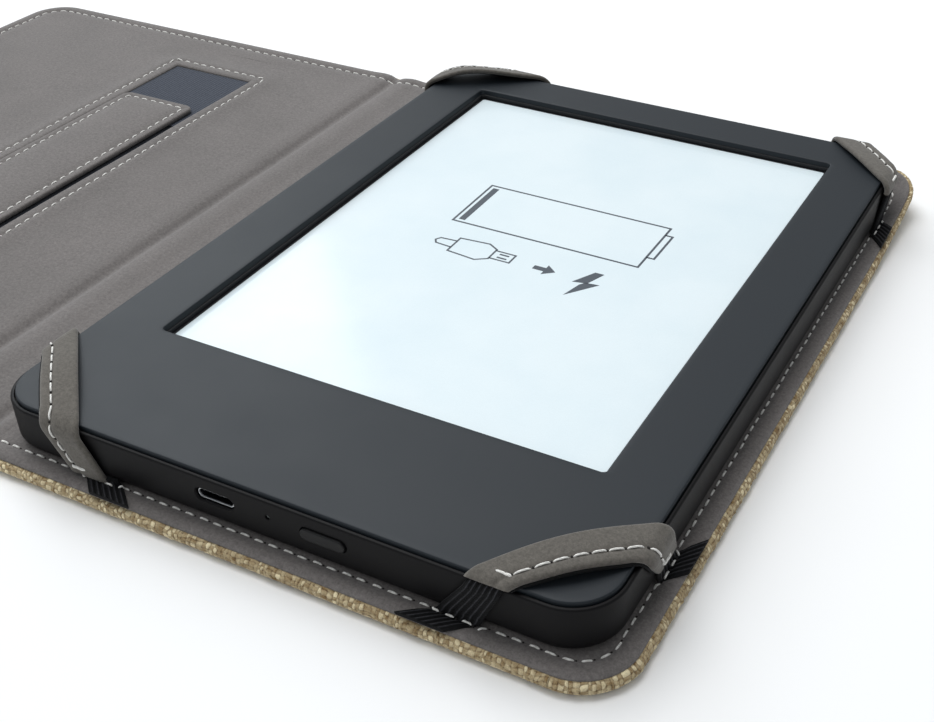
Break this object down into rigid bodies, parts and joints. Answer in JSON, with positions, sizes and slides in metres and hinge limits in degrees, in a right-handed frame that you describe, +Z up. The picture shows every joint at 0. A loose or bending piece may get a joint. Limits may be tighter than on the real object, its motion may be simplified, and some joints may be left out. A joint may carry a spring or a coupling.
{
  "type": "e-reader in folio cover",
  "caption": "Flat touch-screen e-reader held by elastic corner straps inside an open fabric folio cover with a folding spine and a hand strap.",
  "frame": {"origin": "Centre of the back cover panel's underside, which rests on the table; the e-reader lies above it, 0.75 mm nearer to its own bottom edge.", "axes": "+X away from the spine towards the back panel's free long edge, +Y towards the top of the screen, +Z up, out of the screen."},
  "size_m": [0.2747, 0.1766, 0.0163],
  "materials": {
    "burlap": "Coarse undyed plain-weave burlap, matt, with slubs.",
    "cover_board": "Grey-brown bookbinding board, hidden between burlap and lining.",
    "suede_lining": "Warm grey microsuede with a fine mottled nap and white stitching.",
    "hinge_cloth": "Bonded cloth strip inside the folds.",
    "navy_webbing": "Dark navy ribbed elastic webbing, matt.",
    "black_elastic": "Black ribbed elastic, slight sheen on the ribs.",
    "shell_plastic": "Black soft-touch plastic, fine moulded texture.",
    "bezel_plastic": "Dark slate soft-touch plastic, satin, very fine grain.",
    "epaper": "Near-white e-paper under an anti-glare film, satin.",
    "circuit_board": "Green solder-masked circuit board.",
    "magnesium": "Cast magnesium sheet, satin.",
    "steel": "Plated steel.",
    "cell_foil": "Pouch cell foil, satin.",
    "chip_plastic": "Black moulded resin.",
    "flex_film": "Amber polyimide film.",
    "diffuser": "Clear to milky light guide plastic."
  },
  "bodies": {
    "root": {"back_burlap": "burlap", "back_board": "cover_board", "back_lining": "suede_lining", "corner_band_br": "suede_lining", "corner_band_bl": "suede_lining", "corner_band_tr": "suede_lining", "corner_band_tl": "suede_lining", "hinge_tape_back": "hinge_cloth", "strap_elastic_br_bottom": "black_elastic", "strap_elastic_br_side": "black_elastic", "strap_elastic_bl_bottom": "black_elastic", "strap_elastic_bl_side": "black_elastic", "strap_elastic_tr_top": "black_elastic", "strap_elastic_tr_side": "black_elastic", "strap_elastic_tl_top": "black_elastic", "strap_elastic_tl_side": "black_elastic", "rear_housing": "shell_plastic", "front_bezel": "bezel_plastic", "epaper_panel": "epaper", "touch_sensor_frame": "circuit_board", "mainboard": "circuit_board", "wireless_antenna": "circuit_board", "midframe": "magnesium", "frame_screw_1": "steel", "frame_screw_2": "steel", "frame_screw_3": "steel", "frame_screw_4": "steel", "frame_screw_5": "steel", "frame_screw_6": "steel", "board_screw_1": "steel", "board_screw_2": "steel", "usb_shell": "steel", "processor_shield": "steel", "wireless_module": "steel", "battery_pack": "cell_foil", "battery_connector": "chip_plastic", "display_connector": "chip_plastic", "usb_tongue": "chip_plastic", "power_switch": "chip_plastic", "battery_lead": "flex_film", "display_ribbon": "flex_film", "status_led": "diffuser", "light_pipe": "diffuser"},
    "spine": {"spine_burlap": "burlap", "spine_board": "cover_board", "spine_lining": "suede_lining", "hinge_tape_front": "hinge_cloth"},
    "front_cover": {"front_burlap": "burlap", "front_board": "cover_board", "front_lining": "suede_lining", "window_backing": "navy_webbing", "strap_elastic_top": "navy_webbing", "strap_elastic_bottom": "navy_webbing", "hand_strap": "suede_lining"},
    "power_button": {"power_button": "shell_plastic"}
  },
  "joints": [
    {"name": "spine_fold", "type": "hinge", "parent": "root", "child": "spine", "pos_m": [-0.0645, 0, 0.0016], "axis": [0, 1, 0], "range_deg": [-90, 90], "deforming": ["hinge_tape_back"]},
    {"name": "cover_fold", "type": "hinge", "parent": "spine", "child": "front_cover", "pos_m": [-0.0822, 0, 0.0016], "axis": [0, 1, 0], "range_deg": [-90, 90], "deforming": ["hinge_tape_front"]},
    {"name": "power_button_press", "type": "slide", "parent": "root", "child": "power_button", "axis": [0, 1, 0], "range_m": [0, 0.0006], "stiffness_N_per_m": 500}
  ]
}
